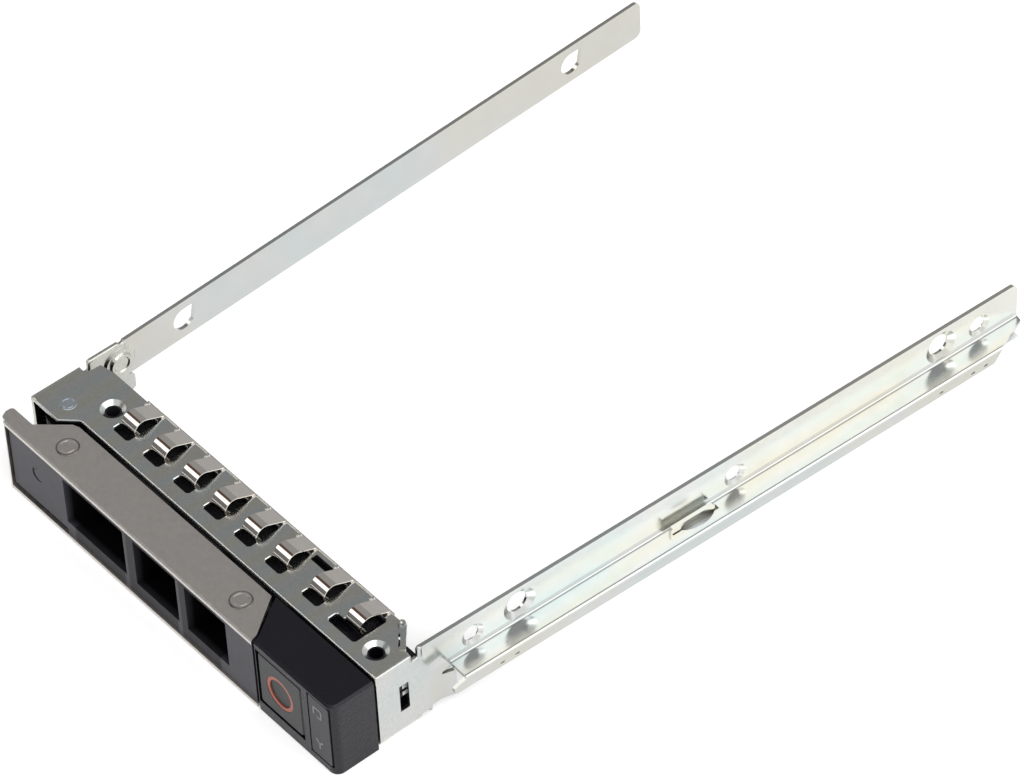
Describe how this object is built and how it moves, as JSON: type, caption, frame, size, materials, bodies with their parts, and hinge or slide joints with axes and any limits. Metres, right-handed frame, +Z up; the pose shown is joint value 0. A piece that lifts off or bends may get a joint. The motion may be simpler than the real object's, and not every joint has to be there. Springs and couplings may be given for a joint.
{
  "type": "hot swap drive caddy",
  "caption": "Hot swap drive caddy for a small form factor drive: folded metal frame with side rails, contact fingers, hinged front handle and push button release.",
  "frame": {"origin": "on the underside of the frame's bottom plate, midway between the outer faces of the frame's side walls, at the depth of the front edge of the frame's top plate", "axes": "+X to the right seen from the front, towards the release button; +Y from the front handle towards the free ends of the rails; +Z up, from the bottom plate to the plate with the contact fingers"},
  "size_m": [0.0864, 0.124, 0.016],
  "materials": {
    "zinc_sheet": "zinc plated sheet, satin",
    "spring_steel": "polished",
    "handle_metal": "satin, warm grey plating",
    "rivet_steel": "satin",
    "black_plastic": "matte",
    "housing_plastic": "fine grain",
    "button_plastic": "satin",
    "ring": "satin",
    "indicator": "satin",
    "clear_pipe": "clear"
  },
  "bodies": {
    "frame": {"carrier_frame": "zinc_sheet", "carrier_rail_left": "zinc_sheet", "carrier_rail_right": "zinc_sheet", "emi_finger_strip": "spring_steel", "air_duct": "black_plastic", "button_housing": "housing_plastic", "indicator_lens": "indicator", "light_pipe_upper": "clear_pipe", "light_pipe_lower": "clear_pipe", "light_pipe_clip_front": "black_plastic", "light_pipe_clip_middle": "black_plastic", "light_pipe_clip_rear": "black_plastic", "handle_pivot_pin": "rivet_steel", "handle_spring": "spring_steel", "button_spring": "spring_steel", "latch_spring": "spring_steel"},
    "handle": {"handle_shell": "handle_metal", "handle_grille": "black_plastic", "handle_rivet_left": "rivet_steel", "handle_rivet_right": "rivet_steel"},
    "button": {"release_button": "button_plastic", "button_ring": "ring"},
    "latch": {"latch_slider": "black_plastic"}
  },
  "joints": [
    {"name": "handle_pivot", "type": "hinge", "parent": "frame", "child": "handle", "pos_m": [-0.0324, 0.0007, 0.007], "axis": [0, 0, 1], "range_deg": [-42, 0]},
    {"name": "button_press", "type": "slide", "parent": "frame", "child": "button", "axis": [0, 1, 0], "range_m": [0, 0.0015], "stiffness_N_per_m": 800, "springref_m": -0.0005},
    {"name": "latch_slide", "type": "slide", "parent": "frame", "child": "latch", "axis": [1, 0, 0], "range_m": [0, 0.0015]}
  ],
  "couplings": [
    {"joint": "latch_slide", "follows": "button_press", "ratio": 1}
  ]
}
